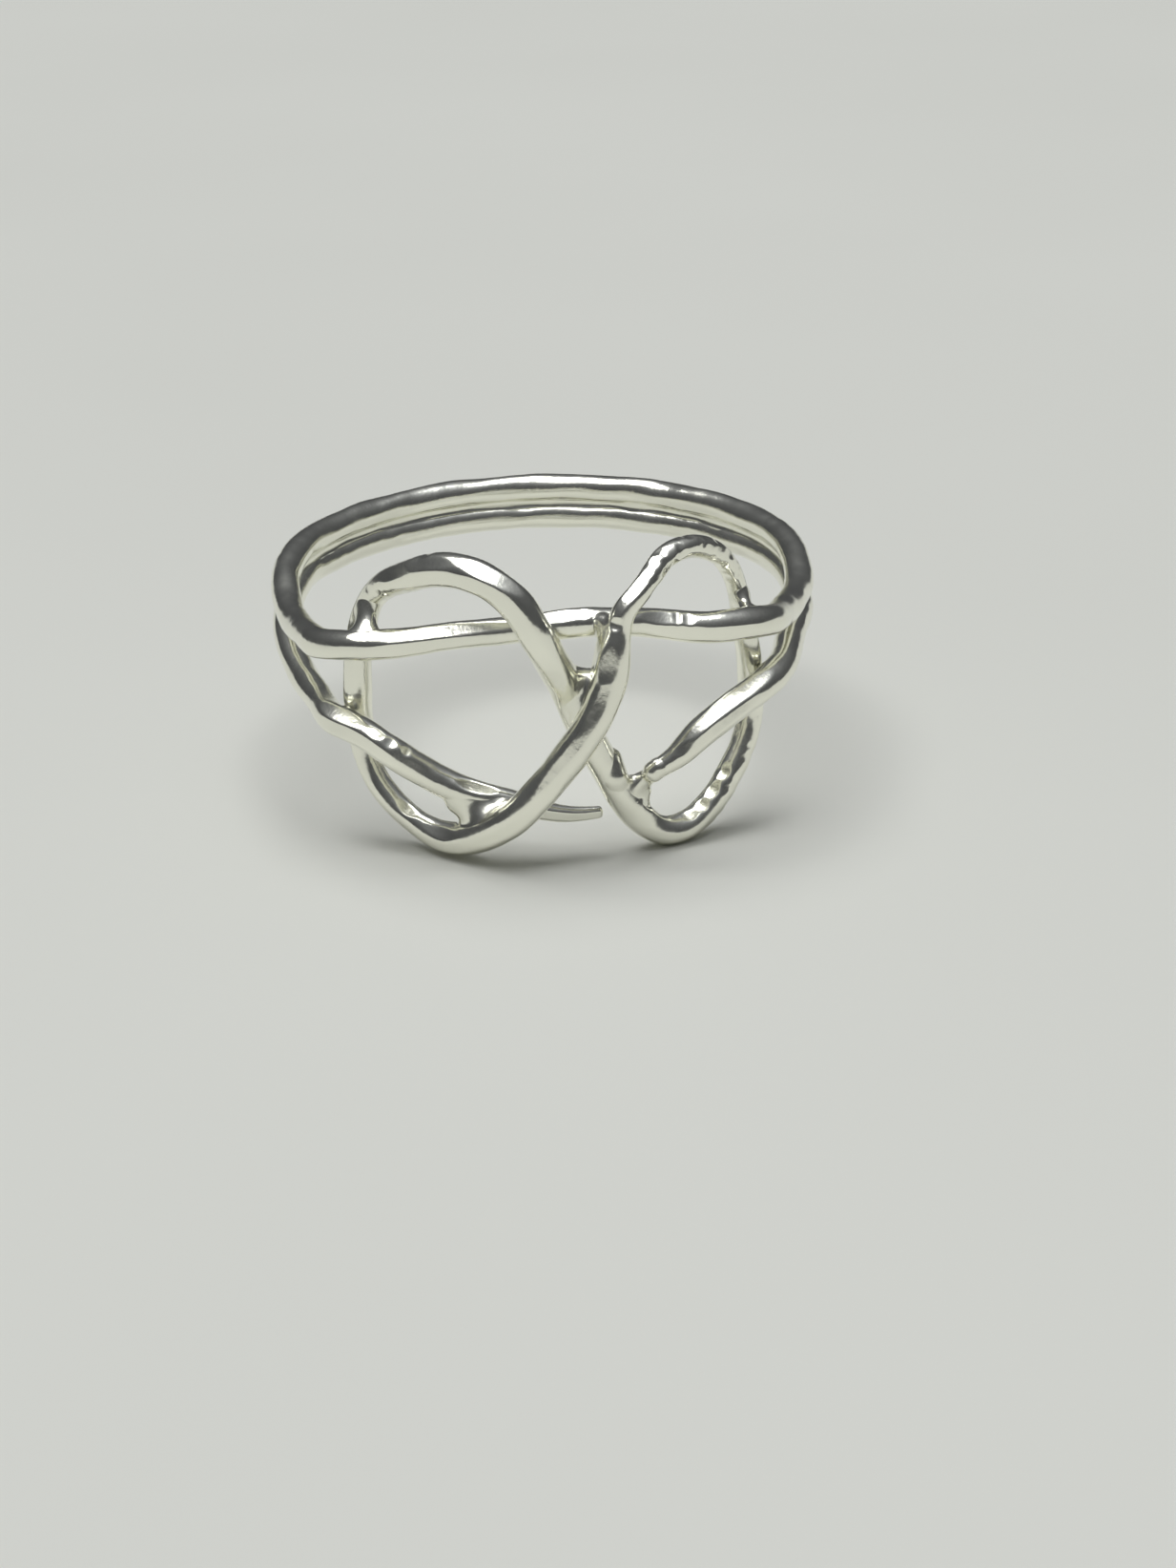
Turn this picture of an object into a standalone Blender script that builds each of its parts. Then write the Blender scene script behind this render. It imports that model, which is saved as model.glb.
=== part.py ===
"""Interlaced wire finger ring: two soldered rails and a figure-of-eight woven over and under them.

Metres, +Z along the finger's axis, the ornament towards -Y. The origin is the centre of the
finger hole, halfway between the two rails at the back of the shank.
"""

from math import cos, pi, radians, sin

import bmesh
import bpy
import numpy as np
from mathutils import Vector

MM = 0.001

# Driving dimensions, in millimetres.
BORE_RADIUS = 9.0  # finger hole, 18 mm across
RAIL_RADIUS = 0.53  # both rails' round wire
SHANK_HALF_PITCH = 0.575  # from the middle of the shank to each rail's centreline
LOOP_OVER_RAIL = 1.08  # lift of a strand of the figure-of-eight where it crosses over a rail
RAIL_OVER_LOOP = 1.02  # lift of a rail where it crosses over a loop's side
LOOP_OVER_LOOP = 1.21  # lift of the big strand where it crosses over the other one
SOLDER_GAP = 0.02  # between solder and wire
SEAM_START, SEAM_END = 73.0, 274.0  # where the rails fork at the right and at the left, in degrees
SEAM_SPREAD = 50.0  # how far round each rail the seam's solder climbs, in degrees

# Mesh resolution.
WIRE_SIDES = 14
RAIL_STEP = 0.62
LOOP_STEP = 0.56
FINE_STEP = 0.2
SEAM_SECTIONS = 48
SEAM_ARC_POINTS = 6
BALL_SUBDIVISIONS = 3
DOME_ANGLES = (35.0, 65.0)  # rings of a rounded wire end
DOME_HEIGHT = 0.7  # of the wire's radius
SHARP_EDGE = 50.0  # degrees between faces from which their edge shades as sharp

SILVER = ("polished_silver", (0.93, 0.92, 0.80), 0.14)
SOLDER = ("silver_solder", (0.89, 0.88, 0.76), 0.2)

# Each route lists (angle, height, lift, radius). The angle is in degrees round the finger from the
# front, positive towards +X, and the rest is in millimetres. Lift is how far the wire stands clear
# of the finger, so a wire with no lift lies against it.
TOP, LOW = SHANK_HALF_PITCH, -SHANK_HALF_PITCH
RAIL = RAIL_RADIUS

UPPER_RAIL = [
    (-180, TOP, 0.0, RAIL),
    (-150, TOP, 0.0, RAIL),
    (-120, TOP, 0.0, RAIL),
    (-95, 0.52, 0.0, RAIL),
    (-78, 0.12, 0.0, RAIL),
    (-67, -0.02, 0.1, 0.54),
    (-56, 0.2, 0.5, 0.54),
    (-46, 0.45, RAIL_OVER_LOOP, 0.54),
    (-36, 0.78, RAIL_OVER_LOOP, 0.53),
    (-29, 0.95, 0.6, 0.52),
    (-20, 1.2, 0.12, 0.49),
    (-11, 1.45, 0.0, 0.47),
    (0, 1.68, 0.0, 0.5),
    (9, 1.78, 0.0, 0.51),
    (17, 1.7, 0.0, 0.5),
    (26, 1.4, 0.05, 0.52),
    (34, 1.17, 0.55, 0.56),
    (42, 1.08, RAIL_OVER_LOOP, 0.56),
    (50, 0.8, RAIL_OVER_LOOP, 0.55),
    (58, 0.45, 0.5, 0.54),
    (69, 0.17, 0.1, 0.54),
    (80, 0.1, 0.0, RAIL),
    (97, 0.42, 0.0, RAIL),
    (120, TOP, 0.0, RAIL),
    (150, TOP, 0.0, RAIL),
]

LOWER_RAIL = [
    (12.5, -5.45, 0.0, 0.22),
    (6, -5.4, 0.0, 0.29),
    (0, -5.18, 0.0, 0.36),
    (-6, -4.86, 0.0, 0.43),
    (-12, -4.64, 0.02, 0.5),
    (-18, -4.36, 0.1, 0.53),
    (-24, -3.78, 0.4, 0.54),
    (-30, -2.95, 0.9, 0.55),
    (-36, -2.45, RAIL_OVER_LOOP, 0.55),
    (-43, -2.26, RAIL_OVER_LOOP, 0.54),
    (-52, -2.3, 0.4, 0.53),
    (-60, -2.16, 0.08, RAIL),
    (-70, -1.86, 0.0, RAIL),
    (-82, -1.3, 0.0, RAIL),
    (-97, -0.68, 0.0, RAIL),
    (-120, LOW, 0.0, RAIL),
    (-150, LOW, 0.0, RAIL),
    (-180, LOW, 0.0, RAIL),
    (-210, LOW, 0.0, RAIL),
    (-240, LOW, 0.0, RAIL),
    (-264, -0.7, 0.0, RAIL),
    (-277, -0.99, 0.0, RAIL),
    (-284, -1.03, 0.0, RAIL),
    (-290, -1.08, 0.1, RAIL),
    (-296, -1.17, 0.35, 0.54),
    (-303, -1.25, 0.75, 0.55),
    (-310, -1.4, RAIL_OVER_LOOP, 0.56),
    (-317, -1.7, RAIL_OVER_LOOP, 0.56),
    (-324, -2.14, RAIL_OVER_LOOP, 0.56),
    (-329, -2.77, 0.92, 0.53),
    (-333, -3.37, 0.87, 0.42),
    (-335.5, -3.6, 0.86, 0.36),
    (-337.6, -3.82, 0.84, 0.34),
]

FIGURE_EIGHT = [
    (16.6, 2.4, LOOP_OVER_RAIL, 0.42),
    (15.5, 1.8, LOOP_OVER_RAIL, 0.45),
    (14.5, 1.1, LOOP_OVER_RAIL, 0.56),
    (13.2, -0.05, 1.14, 0.6),
    (10.2, -1.3, LOOP_OVER_LOOP, 0.6),
    (6.6, -2.3, LOOP_OVER_LOOP, 0.6),
    (3.0, -3.25, 1.15, 0.6),
    (-0.8, -4.12, 1.08, 0.6),
    (-5.2, -4.97, 0.98, 0.6),
    (-10.5, -5.7, 0.62, 0.6),
    (-16.5, -6.22, 0.2, 0.6),
    (-22.5, -6.27, 0.03, 0.54),
    (-28.5, -5.98, 0.0, 0.47),
    (-35.0, -5.3, 0.0, 0.45),
    (-40.0, -4.3, 0.0, 0.46),
    (-42.3, -3.0, 0.0, 0.48),
    (-42.4, -1.0, 0.0, 0.5),
    (-40.8, 0.9, 0.02, 0.45),
    (-37.8, 1.95, 0.0, 0.45),
    (-33.5, 2.7, 0.05, 0.48),
    (-27.0, 3.3, 0.15, 0.55),
    (-20.5, 3.72, 0.35, 0.59),
    (-14.0, 3.88, 0.65, 0.59),
    (-8.0, 3.65, 0.95, 0.6),
    (-3.0, 2.85, LOOP_OVER_RAIL, 0.6),
    (0.4, 1.75, LOOP_OVER_RAIL, 0.6),
    (3.6, 0.5, 0.6, 0.6),
    (6.4, -0.75, 0.1, 0.6),
    (9.2, -2.05, 0.0, 0.57),
    (13.0, -3.4, 0.0, 0.55),
    (16.2, -4.5, 0.0, 0.54),
    (20.5, -5.6, 0.0, 0.54),
    (27.0, -6.43, 0.0, 0.52),
    (33.5, -6.4, 0.0, 0.52),
    (40.4, -5.7, 0.0, 0.5),
    (47.0, -4.6, 0.0, 0.48),
    (51.6, -3.3, 0.0, 0.47),
    (52.3, -1.8, 0.0, 0.46),
    (50.3, 0.0, 0.02, 0.42),
    (48.2, 1.6, 0.05, 0.36),
    (44.1, 2.95, 0.05, 0.37),
    (38.0, 3.74, 0.03, 0.4),
    (31.5, 3.93, 0.1, 0.41),
    (26.3, 3.72, 0.32, 0.4),
    (22.0, 3.24, 0.75, 0.39),
    (19.0, 2.85, 1.0, 0.4),
]


# Each joint is a ball of solder: (angle, height, distance from the finger's axis), then its half
# width, half depth and half height in millimetres, then the wires it wets.
SOLDER_JOINTS = {
    "solder_left_corner": ((-35.5, 1.45, 9.95), (0.65, 0.5, 0.62), ("upper_rail", "figure_eight")),
    "solder_left_side": ((-42.6, -2.95, 9.95), (0.4, 0.35, 0.4), ("lower_rail", "figure_eight")),
    "solder_left_foot": ((-12.5, -5.2, 9.7), (1.15, 0.4, 0.65), ("lower_rail", "figure_eight")),
    "solder_crossing": ((8.3, -0.55, 9.95), (0.5, 0.45, 0.75), ("figure_eight",)),
    "solder_crossing_top": ((12.6, 1.8, 10.05), (0.5, 0.42, 0.6), ("upper_rail", "figure_eight")),
    "solder_right_shoulder": ((45.6, 1.8, 9.85), (0.5, 0.42, 0.55), ("upper_rail", "figure_eight")),
    "solder_right_side": ((51.8, -2.15, 9.9), (0.4, 0.35, 0.45), ("lower_rail", "figure_eight")),
    "solder_right_end": ((20.3, -4.9, 9.8), (0.7, 0.45, 0.7), ("lower_rail", "figure_eight")),
}


def clear_scene():
    for obj in list(bpy.data.objects):
        bpy.data.objects.remove(obj, do_unlink=True)


def material(look):
    name, colour, roughness = look
    found = bpy.data.materials.get(name)
    if found:
        return found
    made = bpy.data.materials.new(name)
    made.use_nodes = True
    shader = made.node_tree.nodes["Principled BSDF"]
    shader.inputs["Base Color"].default_value = (*colour, 1.0)
    shader.inputs["Metallic"].default_value = 1.0
    shader.inputs["Roughness"].default_value = roughness
    return made


def on_finger(angle, height, radius):
    """The point at this angle round the finger, in millimetres."""
    turn = radians(angle)
    return np.array([radius * sin(turn), -radius * cos(turn), height])


def smooth_rows(rows, closed):
    """Points (x, y, z, wire radius) and the slopes of a cubic spline through them, by chord length."""
    points = np.array([[*on_finger(a, h, BORE_RADIUS + r + lift), r] for a, h, lift, r in rows])
    if closed:
        points = np.vstack([points, points[:1]])
    spans = np.linalg.norm(np.diff(points[:, :3], axis=0), axis=1)
    count = len(points)
    system = np.zeros((count, count))
    right = np.zeros((count, 4))
    for i in range(1, count - 1):
        before, after = 1 / spans[i - 1], 1 / spans[i]
        system[i, i - 1 : i + 2] = before, 2 * (before + after), after
        right[i] = 3 * (before**2 * (points[i] - points[i - 1]) + after**2 * (points[i + 1] - points[i]))
    first, last = 1 / spans[0], 1 / spans[-1]
    if closed:
        system[0, [0, 1, count - 2]] = 2 * (first + last), first, last
        right[0] = 3 * (last**2 * (points[0] - points[-2]) + first**2 * (points[1] - points[0]))
        system[-1, [0, -1]] = 1, -1
    else:
        system[0, :2] = 2, 1
        right[0] = 3 * first * (points[1] - points[0])
        system[-1, -2:] = 1, 2
        right[-1] = 3 * last * (points[-1] - points[-2])
    return points, spans, np.linalg.solve(system, right)


def along(rows, closed, step):
    """Samples (x, y, z, wire radius) about one step apart along a route."""
    points, spans, slopes = smooth_rows(rows, closed)
    knots = np.concatenate([[0], np.cumsum(spans)])
    places = np.linspace(0, knots[-1], round(knots[-1] / step) + 1)
    if closed:
        places = places[:-1]
    index = np.clip(np.searchsorted(knots, places, side="right") - 1, 0, len(spans) - 1)
    span = spans[index][:, None]
    t = (places - knots[index])[:, None] / span
    start, end = points[index], points[index + 1]
    return (
        start * (2 * t**3 - 3 * t**2 + 1)
        + slopes[index] * span * (t**3 - 2 * t**2 + t)
        + end * (3 * t**2 - 2 * t**3)
        + slopes[index + 1] * span * (t**3 - t**2)
    )


def frames(path, closed):
    """Unit tangent, outward and sideways directions at each sample of a path on the finger."""
    if closed:
        tangent = np.roll(path[:, :3], -1, axis=0) - np.roll(path[:, :3], 1, axis=0)
    else:
        tangent = np.gradient(path[:, :3], axis=0)
    tangent /= np.linalg.norm(tangent, axis=1)[:, None]
    outward = path[:, :3] * (1, 1, 0)
    outward -= (outward * tangent).sum(axis=1)[:, None] * tangent
    outward /= np.linalg.norm(outward, axis=1)[:, None]
    return tangent, outward, np.cross(tangent, outward)


def wire_sections(path, closed):
    """Round sections along a path; an open path gets a low dome at each end."""
    tangent, outward, sideways = frames(path, closed)
    stations = [(path[i, :3], path[i, 3], i) for i in range(len(path))]
    if not closed:
        for angle in DOME_ANGLES:
            for place, end, sign in ((0, 0, -1), (len(stations), len(path) - 1, 1)):
                reach = sign * DOME_HEIGHT * path[end, 3] * sin(radians(angle))
                centre = path[end, :3] + reach * tangent[end]
                stations.insert(place, (centre, path[end, 3] * cos(radians(angle)), end))
    turns = np.linspace(0, 2 * pi, WIRE_SIDES, endpoint=False)
    return [
        centre + radius * (np.outer(np.cos(turns), outward[i]) + np.outer(np.sin(turns), sideways[i]))
        for centre, radius, i in stations
    ]


def skin(name, sections, closed):
    """A closed mesh over sections of equal point count, capped at both ends unless it is a hoop."""
    bm = bmesh.new()
    rings = [[bm.verts.new(Vector(p) * MM) for p in section] for section in sections]
    pairs = list(zip(rings, rings[1:] + rings[:1])) if closed else list(zip(rings, rings[1:]))
    for ring, following in pairs:
        for k in range(len(ring)):
            other = (k + 1) % len(ring)
            bm.faces.new((ring[k], ring[other], following[other], following[k]))
    if not closed:
        bm.faces.new(rings[0][::-1])
        bm.faces.new(rings[-1])
    bmesh.ops.recalc_face_normals(bm, faces=bm.faces)
    mesh = bpy.data.meshes.new(name)
    bm.to_mesh(mesh)
    bm.free()
    if signed_volume(mesh) < 0:
        mesh.flip_normals()
    return mesh


def signed_volume(mesh):
    bm = bmesh.new()
    bm.from_mesh(mesh)
    volume = bm.calc_volume(signed=True)
    bm.free()
    return volume


def add_object(name, mesh, look):
    obj = bpy.data.objects.new(name, mesh)
    bpy.context.scene.collection.objects.link(obj)
    mesh.materials.clear()
    mesh.materials.append(material(look))
    mesh.shade_smooth()
    mesh.set_sharp_from_angle(angle=radians(SHARP_EDGE))
    return obj


def height_and_reach(path, angle):
    """Where a rail's path passes this angle: its height, distance from the axis and wire radius."""
    turns = np.degrees(np.arctan2(path[:, 0], -path[:, 1]))
    nearest = np.argsort(np.abs((turns - angle + 180) % 360 - 180))[:2]
    off = np.abs((turns[nearest] - angle + 180) % 360 - 180)
    weight = off[::-1] / max(off.sum(), 1e-9)
    reach = np.hypot(path[nearest, 0], path[nearest, 1])
    return weight @ path[nearest, 2], weight @ reach, weight @ path[nearest, 3]


def seam_section(upper, lower, angle, spread):
    """Solder between two stacked rails: bounded by an arc round each of them."""
    points = []
    swing = np.radians(np.linspace(-spread, spread, SEAM_ARC_POINTS))
    for path, facing in ((upper, -1), (lower, 1)):
        height, reach, radius = height_and_reach(path, angle)
        for turn in swing * -facing:
            around = radius + SOLDER_GAP
            points.append(on_finger(angle, height + facing * around * cos(turn), reach + around * sin(turn)))
    return np.array(points)


def add_seam(upper, lower):
    """The solder that joins the stacked rails round the back, between the two forks."""
    angles = np.linspace(SEAM_START, SEAM_END, SEAM_SECTIONS)
    sections = [seam_section(upper, lower, angle, SEAM_SPREAD) for angle in angles]
    return add_object("solder_shank_seam", skin("solder_shank_seam", sections, False), SOLDER)


def keep_largest_island(mesh):
    bm = bmesh.new()
    bm.from_mesh(mesh)
    left = set(bm.verts)
    islands = []
    while left:
        island, front = set(), [left.pop()]
        while front:
            vert = front.pop()
            island.add(vert)
            for edge in vert.link_edges:
                other = edge.other_vert(vert)
                if other in left:
                    left.discard(other)
                    front.append(other)
        islands.append(island)
    islands.sort(key=len)
    for island in islands[:-1]:
        bmesh.ops.delete(bm, geom=list(island), context="VERTS")
    bm.to_mesh(mesh)
    bm.free()


def add_solder(name, place, half_sizes, cutters):
    """Solder run into a corner between wires: a flattened ball, cut clear of the wires it wets."""
    angle, height, reach = place
    wide, deep, high = half_sizes
    turn = radians(angle)
    axes = np.array([[cos(turn), sin(turn), 0], [sin(turn), -cos(turn), 0], [0, 0, 1]])
    bm = bmesh.new()
    bmesh.ops.create_icosphere(bm, subdivisions=BALL_SUBDIVISIONS, radius=1.0)
    for vert in bm.verts:
        vert.co = Vector(on_finger(angle, height, reach) + (np.array(vert.co) * (wide, deep, high)) @ axes) * MM
    bmesh.ops.recalc_face_normals(bm, faces=bm.faces)
    ball = bpy.data.meshes.new(name)
    bm.to_mesh(ball)
    bm.free()
    solder = add_object(name, ball, SOLDER)
    for cutter in cutters:
        cut = solder.modifiers.new("Clear of " + cutter.name, "BOOLEAN")
        cut.operation = "DIFFERENCE"
        cut.object = cutter
    bpy.context.view_layer.update()
    shaped = bpy.data.meshes.new_from_object(solder.evaluated_get(bpy.context.evaluated_depsgraph_get()))
    bpy.data.objects.remove(solder, do_unlink=True)
    bpy.data.meshes.remove(ball)
    keep_largest_island(shaped)
    shaped.name = name
    return add_object(name, shaped, SOLDER)


def build():
    clear_scene()
    routes = {
        "upper_rail": (UPPER_RAIL, True, RAIL_STEP),
        "lower_rail": (LOWER_RAIL, False, RAIL_STEP),
        "figure_eight": (FIGURE_EIGHT, True, LOOP_STEP),
    }
    fatter = {}
    for name, (rows, closed, step) in routes.items():
        path = along(rows, closed, step)
        add_object(name, skin(name, wire_sections(path, closed), closed), SILVER)
        path[:, 3] += SOLDER_GAP
        fatter[name] = add_object("fat_" + name, skin("fat_" + name, wire_sections(path, closed), closed), SILVER)
    add_seam(along(UPPER_RAIL, True, FINE_STEP), along(LOWER_RAIL, False, FINE_STEP))
    for name, (place, half_sizes, wetted) in SOLDER_JOINTS.items():
        add_solder(name, place, half_sizes, [fatter[wire] for wire in wetted])
    for cutter in fatter.values():
        bpy.data.objects.remove(cutter, do_unlink=True)


build()
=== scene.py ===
"""Looks of the interlaced wire finger ring: hammered and filed silver wire with hand-run solder.

Lengths are in millimetres until a mesh is made, and the mesh is in metres in the CAD frame.
"""

from math import cos, pi, radians, sin

import bpy
import numpy as np
from mathutils import Matrix, Vector

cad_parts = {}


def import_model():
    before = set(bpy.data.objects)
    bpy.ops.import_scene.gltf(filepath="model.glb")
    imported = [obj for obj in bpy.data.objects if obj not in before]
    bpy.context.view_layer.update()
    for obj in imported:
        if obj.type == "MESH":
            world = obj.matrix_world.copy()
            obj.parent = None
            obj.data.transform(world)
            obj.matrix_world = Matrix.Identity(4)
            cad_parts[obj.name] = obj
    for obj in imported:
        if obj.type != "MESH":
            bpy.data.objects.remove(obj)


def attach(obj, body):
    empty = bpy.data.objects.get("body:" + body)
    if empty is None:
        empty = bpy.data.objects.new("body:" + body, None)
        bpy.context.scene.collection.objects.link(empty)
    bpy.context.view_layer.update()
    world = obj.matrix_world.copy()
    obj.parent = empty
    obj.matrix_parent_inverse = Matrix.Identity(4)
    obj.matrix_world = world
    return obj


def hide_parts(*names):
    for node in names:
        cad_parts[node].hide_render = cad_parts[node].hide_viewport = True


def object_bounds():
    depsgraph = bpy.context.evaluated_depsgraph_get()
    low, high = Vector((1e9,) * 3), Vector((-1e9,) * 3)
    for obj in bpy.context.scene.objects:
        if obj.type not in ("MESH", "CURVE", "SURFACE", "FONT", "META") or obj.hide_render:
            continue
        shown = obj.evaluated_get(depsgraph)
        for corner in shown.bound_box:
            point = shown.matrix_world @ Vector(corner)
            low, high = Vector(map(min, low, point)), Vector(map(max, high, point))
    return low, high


MM = 0.001
BORE_RADIUS = 9.0  # finger hole, 18 mm across
RAIL_RADIUS = 0.53  # both rails' round wire
SHANK_HALF_PITCH = 0.575  # from the middle of the shank to each rail's centreline
LOOP_OVER_RAIL = 1.08  # lift of a strand of the figure-of-eight where it crosses over a rail
RAIL_OVER_LOOP = 1.02  # lift of a rail where it crosses over a loop's side
LOOP_OVER_LOOP = 1.21  # lift of the big strand where it crosses over the other one

# Wire skins.
PATH_STEP = 0.06  # along a wire
SECTION_POINTS = 56  # round a wire
DOME_RINGS = 10  # rings that round off an open end
DOME_HEIGHT = 0.7  # of the wire's radius
DEGREE_LENGTH = 0.17  # of one degree round the finger, at the wires
WAVE_COUNT = 26  # slow waves of a hand-drawn wire's skin
WAVE_LENGTHS = (0.8, 5.0)
MOST_ROUND_WAVES = 4  # waves round a section stay under this number
WAVE_HEIGHT = 0.0026  # share of the wire's radius, for a wave 1 mm long
WAVE_GROWTH = 0.7  # power by which longer waves are higher
EDGE_WEAR = 0.012  # how far the edge of a file mark is rounded
FLAT_REACH = 1.6  # half lengths beyond which a flat can't meet the skin
LEAST_LEAN = 0.2  # keeps a flat's plane finite round the far side of the wire
BLOW_HALF_LENGTHS = (0.12, 0.28)
BLOW_TURN = 1.9  # how far round the wire hammer blows land, in radians
BLOW_DEPTHS = (0.5, 1.3)  # share of a stretch's usual depth

# Solder.
SOLDER_CELL = 0.035  # grid cell of the solder surfaces
TUCK = 0.02  # how far solder dips under a wire's skin where it feathers out
STRETCH = 3.0  # length of wire to each side of a joint that its solder can reach
BATCH = 20000  # points measured at a time
FILLET_FADE = 0.8  # power by which a fillet shrinks towards the edge of its solder
LEAST_FILLET = 1e-4
RIPPLE_COUNT = 12
RIPPLE_WAVES = 4.0  # radians per millimetre
RIPPLE_HEIGHT = 0.0018

# The solder seam between the rails, in degrees.
SEAM_START, SEAM_END = 71.5, 275.5  # where the rails fork at the right and at the left
SEAM_STEP = 0.6
SEAM_SPREAD = 46.0  # how far round each rail the solder climbs
SEAM_END_SPREAD = 6.0  # the same at a fork
SEAM_RUN_OUT = 9.0  # how far from a fork the seam has its full width
SEAM_RUN_OUT_SHAPE = 0.7  # power by which it widens there
SEAM_WAVER = 2.2
SEAM_WAVE_COUNT = 9
SEAM_WAVES = (3, 40)  # whole waves round the finger
SEAM_WAVE_SIZES = (0.3, 1.0)
SEAM_ARC_POINTS = 5  # inside each wire
SEAM_FILLET_POINTS = 8
SEAM_MOST_DIP = 0.7  # share of the solder's half width that a fillet may hollow out
SEAM_SEED = 17

# Materials. Textures are in metres: a noise of scale 900 has features of about 1.1 mm.
WIRE_SILVER = ((0.95, 0.945, 0.84), 0.13, 0.25, 0.22)  # colour, lowest and highest roughness, scratches
SOLDER_SILVER = ((0.93, 0.925, 0.82), 0.15, 0.27, 0.18)
DARKER_TINT = 0.94  # share of the colour in the duller patches
TINT_SCALE, TINT_SPREAD = 260.0, (0.35, 0.65)
ROUGHNESS_SCALE, ROUGHNESS_SPREAD = 900.0, (0.35, 0.7)
SCRATCH_STRETCH, SCRATCH_LEAN, SCRATCH_DEPTH = (9000.0, 9000.0, 1500.0), (0.0, 0.5, 0.7), 0.00002
NICK_STRETCH, NICK_LEAN, NICK_SCALE = (900.0, 6000.0, 7000.0), (0.3, 0.0, 0.5), 0.35
NICK_WIDTH, NICK_STRENGTH, NICK_DEPTH = 0.12, 0.35, 0.00001
DENT_SCALE, DENT_STRENGTH, DENT_DEPTH = 2200.0, 0.3, 0.00004
FLOOR_HALF = 3.0  # metres
FLOOR_SCALE, FLOOR_ROUGHNESS = 14.0, 0.7
FLOOR_TONES = [(0.3, (0.73, 0.735, 0.675)), (0.7, (0.755, 0.76, 0.70))]

# Studio, in metres.
LAMP_ENERGY, LAMP_ANGLE = 1.7, 54  # the lamp's width is in degrees
LAMP_DIRECTION = (-0.15, 0.0, 1.0)
CAMERA_SENSOR, CAMERA_LENS, CAMERA_NEAR = 36.0, 65.7, 0.001
CAMERA_PLACE = (0.00276, -0.10071, 0.03578)
CAMERA_RIGHT, CAMERA_UP = (0.9998, 0.0034, -0.0201), (0.0171, 0.4012, 0.9158)

# Brightness of the room by the sine of the height above the horizon.
ROOM_LIGHT = [
    (0.0, 0.06),
    (0.26, 0.075),
    (0.5, 0.1),
    (0.71, 0.16),
    (0.82, 0.27),
    (0.906, 0.5),
    (0.95, 0.9),
    (1.0, 1.3),
]
ROOM_TONE = (0.97, 1.0, 1.07)

# Routes as in part.py: (angle, height, lift, radius) in degrees and millimetres.
TOP, LOW = SHANK_HALF_PITCH, -SHANK_HALF_PITCH
RAIL = RAIL_RADIUS

UPPER_RAIL = [
    (-180, TOP, 0.0, RAIL),
    (-150, TOP, 0.0, RAIL),
    (-120, TOP, 0.0, RAIL),
    (-95, 0.52, 0.0, RAIL),
    (-78, 0.12, 0.0, RAIL),
    (-67, -0.02, 0.1, 0.54),
    (-56, 0.2, 0.5, 0.54),
    (-46, 0.45, RAIL_OVER_LOOP, 0.54),
    (-36, 0.78, RAIL_OVER_LOOP, 0.53),
    (-29, 0.95, 0.6, 0.52),
    (-20, 1.2, 0.12, 0.49),
    (-11, 1.45, 0.0, 0.47),
    (0, 1.68, 0.0, 0.5),
    (9, 1.78, 0.0, 0.51),
    (17, 1.7, 0.0, 0.5),
    (26, 1.4, 0.05, 0.52),
    (34, 1.17, 0.55, 0.56),
    (42, 1.08, RAIL_OVER_LOOP, 0.56),
    (50, 0.8, RAIL_OVER_LOOP, 0.55),
    (58, 0.45, 0.5, 0.54),
    (69, 0.17, 0.1, 0.54),
    (80, 0.1, 0.0, RAIL),
    (97, 0.42, 0.0, RAIL),
    (120, TOP, 0.0, RAIL),
    (150, TOP, 0.0, RAIL),
]

LOWER_RAIL = [
    (12.5, -5.45, 0.0, 0.22),
    (6, -5.4, 0.0, 0.29),
    (0, -5.18, 0.0, 0.36),
    (-6, -4.86, 0.0, 0.43),
    (-12, -4.64, 0.02, 0.5),
    (-18, -4.36, 0.1, 0.53),
    (-24, -3.78, 0.4, 0.54),
    (-30, -2.95, 0.9, 0.55),
    (-36, -2.45, RAIL_OVER_LOOP, 0.55),
    (-43, -2.26, RAIL_OVER_LOOP, 0.54),
    (-52, -2.3, 0.4, 0.53),
    (-60, -2.16, 0.08, RAIL),
    (-70, -1.86, 0.0, RAIL),
    (-82, -1.3, 0.0, RAIL),
    (-97, -0.68, 0.0, RAIL),
    (-120, LOW, 0.0, RAIL),
    (-150, LOW, 0.0, RAIL),
    (-180, LOW, 0.0, RAIL),
    (-210, LOW, 0.0, RAIL),
    (-240, LOW, 0.0, RAIL),
    (-264, -0.7, 0.0, RAIL),
    (-277, -0.99, 0.0, RAIL),
    (-284, -1.03, 0.0, RAIL),
    (-290, -1.08, 0.1, RAIL),
    (-296, -1.17, 0.35, 0.54),
    (-303, -1.25, 0.75, 0.55),
    (-310, -1.4, RAIL_OVER_LOOP, 0.56),
    (-317, -1.7, RAIL_OVER_LOOP, 0.56),
    (-324, -2.14, RAIL_OVER_LOOP, 0.56),
    (-329, -2.77, 0.92, 0.53),
    (-333, -3.37, 0.87, 0.42),
    (-335.5, -3.6, 0.86, 0.36),
    (-337.6, -3.82, 0.84, 0.34),
]

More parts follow.
